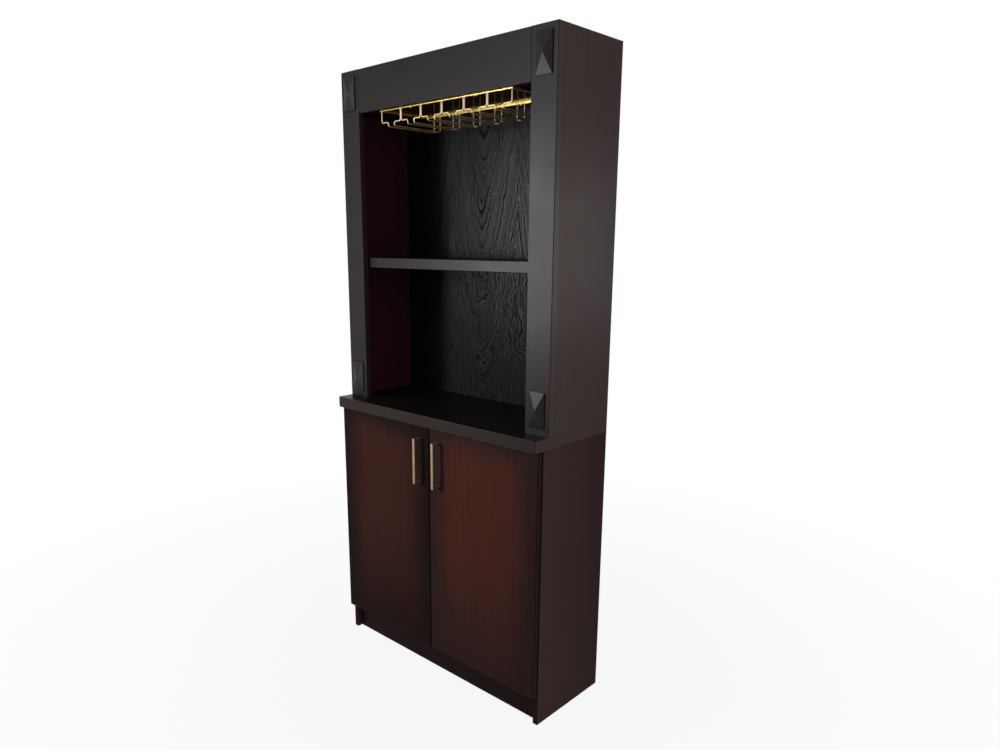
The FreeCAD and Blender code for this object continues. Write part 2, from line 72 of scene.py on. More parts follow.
lens = bpy.data.cameras.new("camera")
lens.sensor_width = sensor_width
lens.lens = sensor_width * focal_pixels / image_width
lens.shift_x = (image_width / 2 - axis_pixel[0]) / image_width
lens.shift_y = (axis_pixel[1] - image_height / 2) / image_width
camera = bpy.data.objects.new("camera", lens)
camera.location = camera_place
camera.rotation_euler = (math.pi / 2 - camera_tilt, 0.0, camera_turn)
scene = bpy.context.scene
scene.collection.objects.link(camera)
scene.camera = camera
scene.view_settings.view_transform = "Standard"
print("lens", round(lens.lens, 2), "mm, shift", round(lens.shift_x, 4), round(lens.shift_y, 4))

# %% [markdown]
# ## Helpers for shader nodes
# Node trees get long when every node takes five lines. `add` makes one node in one call: sockets are
# given by name or number, and each takes either a plain value or the output of an earlier node, which is
# then linked. `maths` is the same for the Math node, which we need most.

# %% Node helpers
def add(tree, kind, inputs=None, **settings):
    """One shader node. `inputs` maps socket names or numbers to values or to other nodes' outputs."""
    made = tree.nodes.new("ShaderNode" + kind)
    for key, value in settings.items():
        setattr(made, key, value)
    for key, value in (inputs or {}).items():
        if isinstance(value, bpy.types.NodeSocket):
            tree.links.new(value, made.inputs[key])
        else:
            made.inputs[key].default_value = value
    return made


def maths(tree, operation, first, second=0.0):
    """The output of one Math node."""
    return add(tree, "Math", {0: first, 1: second}, operation=operation).outputs[0]


def grey(value):
    """An RGBA colour with three equal channels."""
    return (value, value, value, 1.0)


print("node helpers ready")

# %% [markdown]
# ## White surroundings
# The cabinet stands before plain white. Lighting everything until it burns out would wash out the cabinet
# as well, so the white is only what a ray sees directly: the world turns white for rays from the camera
# and for mirrored or refracted ones, while the soft light still comes from a milder grey.

# %% World
soft_light = 0.34          # brightness of the surroundings as a source of light


def seen_directly(tree):
    """1 for rays from the camera, or mirrored or refracted on their way, and 0 for rays of soft light."""
    path = add(tree, "LightPath").outputs
    mirrored = maths(tree, "MAXIMUM", path["Is Glossy Ray"], path["Is Transmission Ray"])
    return maths(tree, "MAXIMUM", path["Is Camera Ray"], mirrored)


world = bpy.data.worlds.new("studio")
scene.world = world
world.use_nodes = True
tree = world.node_tree
tree.nodes.clear()
ambient = add(tree, "Background", {"Color": grey(soft_light)})
white = add(tree, "Background", {"Color": grey(1.0)})
sky = add(tree, "MixShader", {0: seen_directly(tree), 1: ambient.outputs[0], 2: white.outputs[0]})
add(tree, "OutputWorld", {"Surface": sky.outputs[0]})
print("world lights with", soft_light, "and shows white")

# %% [markdown]
# ## A pale floor
# The floor uses the same trick, but it keeps a share of its real shading, and with it the shadow that
# ties the cabinet to the ground. The share fades with the distance from the middle, so that the floor
# runs into the white without an edge.

# %% Floor
floor_grey = 0.30          # share of the light that the floor sends back
floor_glow = 0.90          # share of the floor's look that is plain white under the cabinet
fade_start = 0.3           # metres from the middle at which the shading begins to fade
shadow_reach = 2.4         # metres from the middle at which the last trace of shading is gone
floor_reach = 30.0

floor_finish = bpy.data.materials.new("floor_paint")
floor_finish.use_nodes = True
tree = floor_finish.node_tree
tree.nodes.clear()
matt = add(tree, "BsdfDiffuse", {"Color": grey(floor_grey)})
glow = add(tree, "Emission", {"Color": grey(1.0)})
place = add(tree, "TexCoord").outputs["Object"]
from_middle = add(tree, "VectorMath", {0: place}, operation="LENGTH").outputs["Value"]
whiter = {"Value": from_middle, "From Min": fade_start, "From Max": shadow_reach,
          "To Min": floor_glow, "To Max": 1.0}
share = maths(tree, "MULTIPLY", seen_directly(tree), add(tree, "MapRange", whiter).outputs[0])
mixed = add(tree, "MixShader", {0: share, 1: matt.outputs[0], 2: glow.outputs[0]})
add(tree, "OutputMaterial", {"Surface": mixed.outputs[0]})

floor_mesh = bpy.data.meshes.new("floor")
corners = np.array([(-1, -1, 0), (1, -1, 0), (1, 1, 0), (-1, 1, 0)]) * floor_reach
floor_mesh.from_pydata(corners.tolist(), [], [(0, 1, 2, 3)])
floor_mesh.materials.append(floor_finish)
floor = bpy.data.objects.new("floor", floor_mesh)
scene.collection.objects.link(floor)
print("floor", 2 * floor_reach, "m square")

# %% [markdown]
# ## Four soft lamps
# The gleam on the right-hand stile tells where the main lamp stood: a face mirrors the lamp where the
# angles in and out agree, which puts it to the front left at eye height. The shadow of the left stile on
# the back board points to the same place. A weaker strip, higher and nearer the middle, makes the frame
# brighter to the right, a panel behind the right shoulder gives the side its slow sheen, and a large
# faint one to the front right fills the faces that the main lamp can't reach, such as the inner left
# wall.

# %% Lamps
def lamp(name, at, aim, size, watts):
    """A soft box of one width and height that stands upright at one point and faces another."""
    light = bpy.data.lights.new(name, "AREA")
    light.shape = "RECTANGLE"
    light.size, light.size_y = size
    light.energy = watts
    box = bpy.data.objects.new(name, light)
    box.location = at
    box.rotation_euler = (Vector(aim) - Vector(at)).to_track_quat("-Z", "Y").to_euler()
    scene.collection.objects.link(box)
    return box


lamps = [
    lamp("key_box", at=(-1.22, -1.98, 1.44), aim=(0.10, 0.0, 1.35), size=(0.40, 1.15), watts=51.0),
    lamp("front_strip", at=(-0.85, -2.25, 2.10), aim=(0.20, 0.0, 1.70), size=(0.45, 1.60), watts=16.0),
    lamp("side_panel", at=(1.75, 1.40, 1.45), aim=(0.45, 0.0, 1.45), size=(0.70, 0.80), watts=8.0),
    lamp("fill_panel", at=(2.40, -1.10, 1.50), aim=(-0.20, 0.0, 1.20), size=(1.20, 1.60), watts=11.0),
]
print(len(lamps), "lamps with", sum(box.data.energy for box in lamps), "watts in all")

# %% [markdown]
# ## Colours and shaders
# Stain and lacquer colours are easiest to judge as screen values, so `paint` takes the 0 to 255 numbers
# of a colour picker and converts them to the linear light that shaders calculate with. `finish` starts a
# material. What is the same all over a surface, its specular level and how metallic it is, goes straight
# into the shader's own sockets. `dress` links what changes from place to place.

# %% Colour and shader helpers
def paint(red, green, blue):
    """Linear RGBA of a screen colour: the low part is divided by 12.92, the rest follows a 2.4 power."""
    screen = np.array([red, green, blue]) / 255.0
    linear = np.where(screen <= 0.04045, screen / 12.92, ((screen + 0.055) / 1.055) ** 2.4)
    return (*linear.tolist(), 1.0)


def finish(name, specular, metallic=0.0):
    """A new material with one Principled shader, and its node tree."""
    material = bpy.data.materials.new(name)
    material.use_nodes = True
    tree = material.node_tree
    shader = tree.nodes["Principled BSDF"]
    shader.inputs["Specular IOR Level"].default_value = specular
    shader.inputs["Metallic"].default_value = metallic
    return material, tree, shader


def dress(tree, shader, colour, rough):
    """A colour and a roughness, both outputs of other nodes, linked to the shader."""
    tree.links.new(colour, shader.inputs["Base Color"])
    tree.links.new(rough, shader.inputs["Roughness"])


print("mid grey is", round(paint(128, 128, 128)[0], 3), "in linear light")

# %% [markdown]
# ## Noise for wood
# Wood needs noise that is stretched along the grain: `streaks` squeezes the object's own coordinates
# across the grain and stretches them along it, and `clouds` is the same noise left round. Because every
# board sits at its place in one shared frame, the pattern never slides.

# %% Noise helpers
def place_in_frame(tree):
    """The point that is shaded, in the coordinates of the frame."""
    return add(tree, "TexCoord").outputs["Object"]


def along(tree, axis):
    """One coordinate of the point that is shaded."""
    return add(tree, "SeparateXYZ", {0: place_in_frame(tree)}).outputs[axis]


def streaks(tree, axis, spacing, length, detail=3.0):
    """Noise from 0 to 1 in streaks: `spacing` apart across the grain and `length` long along one axis."""
    scale = np.full(3, 1.0 / spacing)
    scale["XYZ".index(axis)] = 1.0 / length
    mapping = add(tree, "Mapping", {"Vector": place_in_frame(tree), "Scale": tuple(scale)})
    inputs = {"Vector": mapping.outputs[0], "Scale": 1.0, "Detail": detail, "Roughness": 0.6}
    return add(tree, "TexNoise", inputs).outputs[0]


def clouds(tree, size, detail=2.0):
    """Even noise from 0 to 1 with patches of one size."""
    inputs = {"Vector": place_in_frame(tree), "Scale": 1.0 / size, "Detail": detail}
    return add(tree, "TexNoise", inputs).outputs[0]


print("noise in streaks and in clouds")

# %% [markdown]
# ## Using the noise
# Raw noise is seldom what a finish needs. `centred` makes it swing about zero, so that it can push a
# pattern to and fro, `spread` moves it to another range, `blend` mixes two colours by it, and `relief`
# lets it raise the surface. Most of the noise lies between 0.3 and 0.7, so `spread` starts from that
# range unless told otherwise.

# %% Range, colour and relief helpers
def centred(tree, noise, reach):
    """Noise less a half, times a reach."""
    return maths(tree, "MULTIPLY", maths(tree, "SUBTRACT", noise, 0.5), reach)


def spread(tree, value, low, high, start=0.3, end=0.7, smooth=False):
    """A value moved from the range start to end to the range low to high, clamped at both ends."""
    inputs = {"Value": value, "From Min": start, "From Max": end, "To Min": low, "To Max": high}
    kind = "SMOOTHSTEP" if smooth else "LINEAR"
    return add(tree, "MapRange", inputs, interpolation_type=kind).outputs[0]


def blend(tree, factor, first, second):
    """Two colours, or the outputs of other nodes, mixed by a factor from 0 to 1."""
    return add(tree, "Mix", {0: factor, 6: first, 7: second}, data_type="RGBA").outputs[2]


def relief(tree, shader, height, depth):
    """Surface relief from a height of 0 to 1, `depth` metres deep."""
    bump = add(tree, "Bump", {"Height": height, "Distance": depth, "Strength": 1.0})
    tree.links.new(bump.outputs[0], shader.inputs["Normal"])


print("range, colour and relief helpers ready")

# %% [markdown]
# ## Wood tone and satin coat
# Two layers make a lacquered board. Below lies the wood, two shades mixed by broad, faint streaks that
# run with the grain. Above lies the coat: fine streaks and soft patches of slightly different roughness,
# and the hint of grain that always telegraphs through sprayed lacquer. Side faces are told from front
# faces by their normal, because the cabinet is finished differently on each.

# %% Wood and coat
grain_length = 0.45
grain_contrast = (0.2, 0.8)            # least and greatest share of the lighter shade
coat_streak = (1.6 * MM, 40 * MM)      # apart, long
coat_patch = 0.11
coat_relief = 0.02 * MM
turned_sideways = (0.5, 0.9)           # part of the normal along X, from not at all to fully


def normal_along_x(tree):
    """The normal's part along X: 1 on faces to the right, -1 to the left, 0 forward, back or up."""
    return add(tree, "SeparateXYZ", {0: add(tree, "TexCoord").outputs["Normal"]}).outputs["X"]


def looks_sideways(tree):
    """1 on faces that look to the left or right, and 0 on those that look forward, up or down."""
    return spread(tree, maths(tree, "ABSOLUTE", normal_along_x(tree)), 0.0, 1.0, *turned_sideways)


def wood_tone(tree, axis, dark, light, spacing=12 * MM):
    """Two shades mixed by broad, faint streaks of grain."""
    grain = spread(tree, streaks(tree, axis, spacing, grain_length), *grain_contrast)
    return blend(tree, grain, dark, light)


def coat(tree, shader, axis, colour, rough):
    """Satin polish: fine streaks and soft patches, half each, set the roughness. The streaks stand up."""
    fine = streaks(tree, axis, *coat_streak, detail=2.0)
    patches = maths(tree, "MULTIPLY", clouds(tree, coat_patch), 0.5)
    polish = maths(tree, "ADD", maths(tree, "MULTIPLY", fine, 0.5), patches)
    dress(tree, shader, colour, spread(tree, polish, *rough))
    relief(tree, shader, fine, coat_relief)


print("grain", grain_length, "m long under a coat with", coat_relief / MM, "mm of relief")

# %% [markdown]
# ## Espresso lacquer
# The face frame and the pyramid blocks wear a dark espresso lacquer. It is almost black by itself, and
# what the eye reads as grey is light mirrored in a satin surface. So the colour stays very dark and the
# specular level does the rest. Boards need it in two directions, upright and level. On side faces the
# same coat lies thinner, and the red wood below warms it. The soffit above the rack is black and smooth,
# with hardly any mirror in it, so that only the gilt bars show there at a flat angle. Its amber warmth is
# painted: a painted reflection of the gilt rack laid into its colour.

# %% Lacquer
espresso = (paint(16, 12, 12), paint(23, 18, 17))
warm_edge = (paint(47, 34, 31), paint(56, 40, 37))
# black lacquer warmed to amber: a painted reflection of the gilt rack
soffit_black_and_gilt_glow = (paint(22, 18, 14), paint(27, 22, 17))
satin = (0.32, 0.40)
smooth_coat = (0.10, 0.16)
espresso_gloss = 0.108
soffit_gloss = 0.002


def lacquer(name, axis, shades, rough, specular):
    """Lacquer over close-grained wood that runs along one axis, with a warmer tone on side faces."""
    material, tree, shader = finish(name, specular)
    face = wood_tone(tree, axis, *shades)
    edge = wood_tone(tree, axis, *warm_edge)
    coat(tree, shader, axis, blend(tree, looks_sideways(tree), face, edge), rough)
    return material


espresso_upright = lacquer("espresso_upright", "Z", espresso, satin, espresso_gloss)
espresso_level = lacquer("espresso_level", "X", espresso, satin, espresso_gloss)
soffit_black = lacquer("soffit_black", "X", soffit_black_and_gilt_glow, smooth_coat, soffit_gloss)
print("lacquers for frame and soffit")

# %% [markdown]
# ## Counter and shelf
# The counter wears a lighter coat on its edges, but its top is rubbed to a deeper black and a finer
# polish. Height tells the two apart: the tone changes within the last millimetre under the top, and
# because the edges are rounded there, the change falls where the eye expects one. The ends of the counter
# continue the side panels below and above, so they take the same tone, which grows redder and darker
# towards the back.

# %% Counter finish
warm_front = (paint(54, 41, 38), paint(63, 47, 44))
warm_back = (paint(38, 18, 19), paint(47, 24, 25))
counter_edge = (paint(30, 25, 23), paint(37, 30, 28))
counter_top = (paint(8, 6, 6), paint(15, 12, 11))
counter_rough = (0.28, 0.38)
counter_gloss = 0.07
edge_ends = 0.8 * MM                   # below the top
top_starts = 0.3 * MM                  # below the top
front_and_back = (-0.12, 0.17)         # places along Y where the tone starts and stops to change


def front_to_back(tree, axis, front, back):
    """Wood tone that goes from one pair of shades at the front of the cabinet to another at the back."""
    depth = spread(tree, along(tree, "Y"), 0.0, 1.0, *front_and_back)
    return blend(tree, depth, wood_tone(tree, axis, *front), wood_tone(tree, axis, *back))


def counter_lacquer(name, node):
    """Dark lacquer on the edges of a board and black polish on its top, told apart by the height."""
    material, tree, shader = finish(name, counter_gloss)
    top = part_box(node)[1].z
    on_top = spread(tree, along(tree, "Z"), 0.0, 1.0, top - edge_ends, top - top_starts)
    ends = front_to_back(tree, "Y", warm_front, warm_back)
    edge = blend(tree, looks_sideways(tree), wood_tone(tree, "X", *counter_edge), ends)
    black = wood_tone(tree, "X", *counter_top)
    coat(tree, shader, "X", blend(tree, on_top, edge, black), counter_rough)
    return material


counter_black = counter_lacquer("counter_black", "counter_top")
shelf_black = counter_lacquer("shelf_black", "hutch_shelf")
print("finish of the counter and the shelf")

# %% [markdown]
# ## Side panels, in and out
# A side panel shows two finishes at once: warm lacquer outside and a wine-red stain inside. One board,
# one material: a face looks inwards where its normal and its place have opposite signs along X, on either
# side of the cabinet. Beside the toe kick the inner face takes the outer lacquer, as nobody stains it
# there. The base is duller than the hutch, and both grow redder and darker towards the back.

# %% Side panels
wine = (paint(50, 23, 30), paint(62, 31, 39))
dark_edge = (paint(23, 14, 14), paint(29, 18, 18))
base_front = (paint(61, 43, 41), paint(70, 50, 47))
base_back = (paint(41, 20, 21), paint(49, 25, 26))
hutch_gloss = 0.075
base_gloss = 0.020
clearly_inwards = -0.05                # normal times place along X, which is about -0.4 on inner faces


def looks_inwards(tree):
    """1 on faces whose normal points to the middle of the cabinet along X, and 0 on the others."""
    outwards = maths(tree, "MULTIPLY", normal_along_x(tree), along(tree, "X"))
    return maths(tree, "LESS_THAN", outwards, clearly_inwards)


def side_panel(name, front, back, rough, specular):
    """Lacquered outer face, dark edges, and a wine-red inner face that starts above the toe kick."""
    material, tree, shader = finish(name, specular)
    above = maths(tree, "GREATER_THAN", along(tree, "Z"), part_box("toe_kick")[1].z)
    inside = maths(tree, "MULTIPLY", looks_inwards(tree), above)
    outer_face = front_to_back(tree, "Z", front, back)
    outside = blend(tree, looks_sideways(tree), wood_tone(tree, "Z", *dark_edge), outer_face)
    coat(tree, shader, "Z", blend(tree, inside, outside, wood_tone(tree, "Z", *wine)), rough)
    return material


hutch_panel = side_panel("hutch_panel", warm_front, warm_back, satin, hutch_gloss)
base_panel = side_panel("base_panel", base_front, base_back, satin, base_gloss)
print("side panels of hutch and base")

# %% [markdown]
# ## Stain
# Boards inside the base, and the toe kick, carry stain without lacquer. Stain leaves the pores of the
# wood open, so the fine streaks that set the roughness are also its relief.

# %% Stained boards
stain_pore = (1.1 * MM, 22 * MM)       # apart, long
stain_grain = 14 * MM
stain_rough = (0.40, 0.52)
stain_relief = 0.02 * MM
inner_gloss = 0.08
plinth_gloss = 0.02


def stain(name, axis, shades, specular):
    """A thin stain with open pores."""
    material, tree, shader = finish(name, specular)
    pores = streaks(tree, axis, *stain_pore, detail=2.0)
    tone = wood_tone(tree, axis, *shades, spacing=stain_grain)
    dress(tree, shader, tone, spread(tree, pores, *stain_rough))
    relief(tree, shader, pores, stain_relief)
    return material


inner_upright = stain("inner_stain_upright", "Z", wine, inner_gloss)
inner_level = stain("inner_stain_level", "X", wine, inner_gloss)
plinth = stain("plinth_stain", "X", dark_edge, plinth_gloss)
print("inner stain and plinth")

# %% [markdown]
# ## Spray on the doors
# The doors are shaded like an old instrument: red-brown in the middle and nearly black around the rim,
# sprayed by hand. The distance of a point from the nearest edges of its door drives the shade, and the
# spray reaches further up from the bottom than down from the top. Both doors share the formula, because
# the distance from the meeting line, taken without its sign, is the same on both.

# %% Spray
spray_wobble = 0.05                    # how far the hand wandered
wobble_size = 0.16
side_spray = (0.0, 0.13)               # distances from the edge at which the spray is full and gone
top_spray = (-0.02, 0.09)
bottom_spray = (-0.12, 0.45)


def edge_distances(tree):
    """Distances to the meeting line, hinge side, top and bottom of a door, all a little uneven."""
    low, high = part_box("door_right")
    across = maths(tree, "ABSOLUTE", along(tree, "X"))
    height = along(tree, "Z")
    straight = {
        "meeting": maths(tree, "SUBTRACT", across, low.x),
        "hinge": maths(tree, "SUBTRACT", high.x, across),
        "top": maths(tree, "SUBTRACT", high.z, height),
        "bottom": maths(tree, "SUBTRACT", height, low.z),
    }
    wobble = centred(tree, clouds(tree, wobble_size), spray_wobble)
    return {edge: maths(tree, "ADD", distance, wobble) for edge, distance in straight.items()}


def thin_out(tree, distance, reach):
    """0 where the spray is full, 1 where it has gone, with a smooth step between."""
    return spread(tree, distance, 0.0, 1.0, *reach, smooth=True)


def burst(tree, edges):
    """Steps from the nearer side, the top and the bottom multiplied: 0 at the rim, 1 in the middle."""
    sides = thin_out(tree, maths(tree, "MINIMUM", edges["meeting"], edges["hinge"]), side_spray)
    top = thin_out(tree, edges["top"], top_spray)
    bottom = thin_out(tree, edges["bottom"], bottom_spray)
    return maths(tree, "MULTIPLY", sides, maths(tree, "MULTIPLY", top, bottom))


print("spray reaches", bottom_spray[1], "m up from the bottom of a door")

# %% [markdown]
# ## Sunburst doors
# With the spray worked out, a door is two pairs of shades: one for the rim and one for the heart, each
# mixed by the grain. The left door takes its own, darker shades, and its upper corner by the pull is
# darker still. The sign of X picks the door.

# %% Door finish
left_rim = (paint(16, 9, 8), paint(22, 12, 11))
left_heart = (paint(41, 20, 17), paint(50, 24, 20))
right_rim = (paint(31, 20, 20), paint(38, 25, 24))
right_heart = (paint(54, 27, 22), paint(64, 32, 26))
# distances from the upper corner by the pull at which the left door's extra darkening is full and gone
darker_corner_reach = (0.02, 0.20)
corner_slant = 0.5                     # metres down that count as much as one metre across
door_grain = (11 * MM, 0.40)           # apart, long
door_pore = (1.0 * MM, 18 * MM)
door_rough = (0.38, 0.50)
door_relief = 0.02 * MM
door_gloss = 0.02


def sunburst():
    """Rim and heart mixed by the spray on each door. Pores set the roughness and the relief."""
    material, tree, shader = finish("door_sunburst", door_gloss)
    edges = edge_distances(tree)
    both = burst(tree, edges)
    by_pull = maths(tree, "ADD", edges["top"], maths(tree, "MULTIPLY", edges["meeting"], corner_slant))
    left_burst = maths(tree, "MULTIPLY", both, thin_out(tree, by_pull, darker_corner_reach))
    grain = spread(tree, streaks(tree, "Z", *door_grain), *grain_contrast)
    left = blend(tree, left_burst, blend(tree, grain, *left_rim), blend(tree, grain, *left_heart))
    right = blend(tree, both, blend(tree, grain, *right_rim), blend(tree, grain, *right_heart))
    on_right = maths(tree, "GREATER_THAN", along(tree, "X"), 0.0)
    pores = streaks(tree, "Z", *door_pore, detail=2.0)
    dress(tree, shader, blend(tree, on_right, left, right), spread(tree, pores, *door_rough))
    relief(tree, shader, pores, door_relief)
    return material


door_sunburst = sunburst()
print("sunburst for both doors")

# %% [markdown]
# ## Rings of the oak
# The back of the hutch is open-pored oak stained black, and its grain is the liveliest pattern on the
# piece. Sawn flat, the yearly rings of a log show as nested arches. Geometry gives them: a ring is where
# the distance from the middle of the log is a whole number of ring widths, a saw cut passes beside that
# middle, and a log tapers. So the rounded distance from the middle of a veneer leaf, less a share of the
# height, has level lines that are pointed arches along the middle and near-straight lines at the sides.
# Folding the width back and forth lays the leaves out in mirrored pairs, and below the shelf stronger
# noise bends the rings into the swirls of a knotty sheet. No two years are alike, so the level runs
# through one-dimensional noise, which makes wide, narrow and faint rings.

# %% Oak rings
leaf = 0.30                            # width of a veneer leaf
leaf_middle = -0.06                    # place along X of the middle of one leaf
saw_cut = 0.028                        # from the middle of the log
taper = 0.20
ring_width = 5 * MM
ring_contrast = (0.34, 0.64)
waver_size = (0.09, 0.30)              # across, along the grain
waver_reach = 0.05
swirl_size = 0.09
swirl_reach = (0.10, 0.02)             # in the lower and the upper sheet
sheet_change = (1.34, 1.50)            # heights between which the lower sheet turns into the upper one


def oak_rings(tree):
    """Noise of (root of (w^2 + cut^2) + swirl - taper z) / ring width.

    Here w is the distance from the middle of a leaf: the wavering width, folded back and forth.
    """
    height = along(tree, "Z")
    waver = centred(tree, streaks(tree, "Z", *waver_size, detail=2.0), waver_reach)
    swirl = centred(tree, clouds(tree, swirl_size), spread(tree, height, *swirl_reach, *sheet_change))
    width = maths(tree, "ADD", maths(tree, "ADD", along(tree, "X"), leaf / 2 - leaf_middle), waver)
    folded = maths(tree, "SUBTRACT", maths(tree, "PINGPONG", width, leaf), leaf / 2)
    squared = maths(tree, "ADD", maths(tree, "MULTIPLY", folded, folded), saw_cut ** 2)
    rounded = maths(tree, "ADD", maths(tree, "SQRT", squared), swirl)
    contour = maths(tree, "SUBTRACT", rounded, maths(tree, "MULTIPLY", height, taper))
    years = maths(tree, "DIVIDE", contour, ring_width)
    inputs = {"W": years, "Scale": 1.0, "Detail": 3.0, "Roughness": 0.75}
    noise = add(tree, "TexNoise", inputs, noise_dimensions="1D").outputs[0]
    return spread(tree, noise, 0.0, 1.0, *ring_contrast)


print("a ring every", ring_width / MM, "mm across leaves of", leaf, "m")

# %% [markdown]
# ## Black oak
# On black wood the rings show by their gloss, not by their colour: ridges are polished and pores are
# matt. So the same pattern drives colour, roughness and a relief of a tenth of a millimetre. The sheet
# below the shelf is rubbed less and less towards the counter, so fewer of its ridges shine. Its ridges
# are also darker: partly the sheet's own tone, partly painted shade below the shelf.

# %% Oak finish
pore_black = paint(2, 2, 3)
# partly the lower sheet's own tone, partly painted shade below the shelf
lower_ridge_and_shade = paint(18, 12, 13)
upper_ridge = paint(22, 19, 22)
oak_pore = (1.3 * MM, 30 * MM)         # apart, long
pore_contrast = (0.38, 0.62)
pore_floor = 0.5                       # height that a pore leaves of a ridge
oak_relief = 0.12 * MM
oak_gloss = 0.085
pore_rough = 0.90
ridge_rough = (0.20, 0.22)             # on the lower and the upper sheet
rubbing = (0.98, 1.45)                 # heights of the least and the fully rubbed wood
polish_starts = (0.10, 0.03)           # ridge that begins to shine where least and where fully rubbed
polish_full = (1.20, 0.55)             # ridge that shines fully there


def black_oak():
    """Rings times pores give the ridges, and the ridges give colour, roughness and relief."""
    material, tree, shader = finish("black_oak", oak_gloss)
    height = along(tree, "Z")
    pores = spread(tree, streaks(tree, "Z", *oak_pore), pore_floor, 1.0, *pore_contrast)
    ridges = maths(tree, "MULTIPLY", pores, oak_rings(tree))
    upper = spread(tree, height, 0.0, 1.0, *sheet_change)
    colour = blend(tree, ridges, pore_black, blend(tree, upper, lower_ridge_and_shade, upper_ridge))
    starts = spread(tree, height, *polish_starts, *rubbing)
    full = spread(tree, height, *polish_full, *rubbing)
    polish = spread(tree, ridges, 0.0, 1.0, starts, full)
    polished_rough = spread(tree, upper, *ridge_rough, 0.0, 1.0)
    dress(tree, shader, colour, spread(tree, polish, pore_rough, polished_rough, 0.0, 1.0))
    relief(tree, shader, ridges, oak_relief)
    return material


oak_black = black_oak()
print("black oak for the back")

# %% [markdown]
# ## Brass, gilt and steel
# The pulls are brushed brass, where fine scratches run along the bar. The flat bars of the rack are gilt
# and polished, and its wires wear a paler gilt with a duller shine. Clear lacquer protects all three, so
# they are only partly bare metal: a Metallic below 1 mixes some plain colour into the mirror. Hinges are
# nickel-plated steel and screws are zinc.

# %% Metal finishes
metal_gloss = 0.5
smear_size = 30 * MM
scratch_relief = 0.004 * MM


def metal(name, axis, shades, rough, scratch, bare=1.0):
    """Metal with scratches along one axis that change its roughness, and smears that change its shade."""
    material, tree, shader = finish(name, metal_gloss, metallic=bare)
    scratches = streaks(tree, axis, *scratch, detail=2.0)
    smears = spread(tree, clouds(tree, smear_size), 0.0, 1.0)
    dress(tree, shader, blend(tree, smears, *shades), spread(tree, scratches, *rough))
    relief(tree, shader, scratches, scratch_relief)
    return material


pull_brass = metal("pull_brass", "Z", (paint(152, 133, 96), paint(140, 121, 86)), rough=(0.24, 0.38),
                   scratch=(0.35 * MM, 30 * MM), bare=0.75)
bar_gilt = metal("bar_gilt", "X", (paint(238, 208, 116), paint(228, 194, 98)), rough=(0.22, 0.32),
                 scratch=(0.6 * MM, 12 * MM), bare=0.85)
wire_gilt = metal("wire_gilt", "Y", (paint(198, 173, 130), paint(188, 161, 117)), rough=(0.28, 0.40),
                  scratch=(0.6 * MM, 12 * MM), bare=0.5)
hinge_nickel = metal("hinge_nickel", "Z", (paint(188, 186, 180), paint(172, 170, 165)),
                     rough=(0.22, 0.34), scratch=(0.4 * MM, 8 * MM))
screw_zinc = metal("screw_zinc", "Z", (paint(196, 198, 200), paint(172, 176, 182)),
                   rough=(0.26, 0.40), scratch=(0.4 * MM, 3 * MM))
print("brass, two gilts, nickel and zinc")

# %% [markdown]
# ## Beech and rubber
# Two small finishes are left. The dowels are beech, known by its short darker flecks, and the bumpers on
# the doors are soft pale rubber with a little dust on it.

# %% Dowels and bumpers
beech_shades = (paint(196, 156, 112), paint(222, 186, 142))
beech_fleck = (0.8 * MM, 6 * MM)       # apart, long
beech_rough = (0.55, 0.70)
beech_relief = 0.05 * MM
beech_gloss = 0.3
rubber_shades = (paint(150, 150, 146), paint(182, 182, 178))
rubber_dust = 3 * MM
rubber_rough = (0.30, 0.45)
rubber_gloss = 0.4


def beech():
    """Bare beech with short flecks along the dowels."""
    material, tree, shader = finish("beech_dowel", beech_gloss)
    flecks = streaks(tree, "X", *beech_fleck)
    colour = blend(tree, spread(tree, flecks, 0.0, 1.0), *beech_shades)
    dress(tree, shader, colour, spread(tree, flecks, *beech_rough))
    relief(tree, shader, flecks, beech_relief)
    return material


def rubber():
    """Pale rubber with dusty patches of a few millimetres."""
    material, tree, shader = finish("bumper_rubber", rubber_gloss)
    dust = clouds(tree, rubber_dust, detail=4.0)
    dress(tree, shader, blend(tree, dust, *rubber_shades), spread(tree, dust, *rubber_rough))
    return material


dowel_beech = beech()
bumper_rubber = rubber()
print("beech and rubber")

# %% [markdown]
# ## Giving every CAD node its finish
# A finish goes into the material slots of a node's object, and nothing else about the node changes. Nodes
# in pairs end in `_left` and `_right`, so one entry in the table dresses both: the start of a name is
# enough, and the longest start that fits wins.

# %% Dress the CAD nodes
finishes = {
    "base_side": base_panel, "hutch_side": hutch_panel, "toe_kick": plinth,
    "base_bottom": inner_level, "base_back": inner_upright, "base_front_rail": inner_level,
    "base_rear_rail": inner_level, "base_shelf": inner_level, "counter_top": counter_black,
    "hutch_back": oak_black, "hutch_roof": espresso_level, "rack_soffit": soffit_black,
    "stile": espresso_upright, "header": espresso_level, "corner_block": espresso_upright,
    "hutch_shelf": shelf_black, "hutch_shelf_nosing": espresso_level, "door": door_sunburst,
    "pull": pull_brass, "rack": bar_gilt, "hinge": hinge_nickel, "base_dowels": dowel_beech,
    "hutch_dowels": dowel_beech, "door_bumpers": bumper_rubber, "base_shelf_supports": hinge_nickel,
    "hutch_shelf_supports": hinge_nickel, "counter_screws": screw_zinc, "pull_screws": screw_zinc,
    "hinge_cup_screws": screw_zinc, "hinge_plate_screws": screw_zinc,
}
for name, node in nodes.items():
    start = max((key for key in finishes if name.startswith(key)), key=len)
    for slot in node.material_slots:
        slot.material = finishes[start]
print("dressed", len(nodes), "nodes in", len(set(finishes.values())), "finishes")

# %% [markdown]
# ## Surfaces from numpy
# New pieces are grids of points. `grid_faces` numbers the four corners of every cell of a grid whose
# columns run round a closed section, `capped_faces` closes both ends of such a grid, and `gather` joins
# several surfaces into one.

# %% Grid helpers
def full_turn(sides):
    """Equal angles once round a circle, without the last, which is the first again."""
    return np.linspace(0.0, 2 * math.pi, sides, endpoint=False)


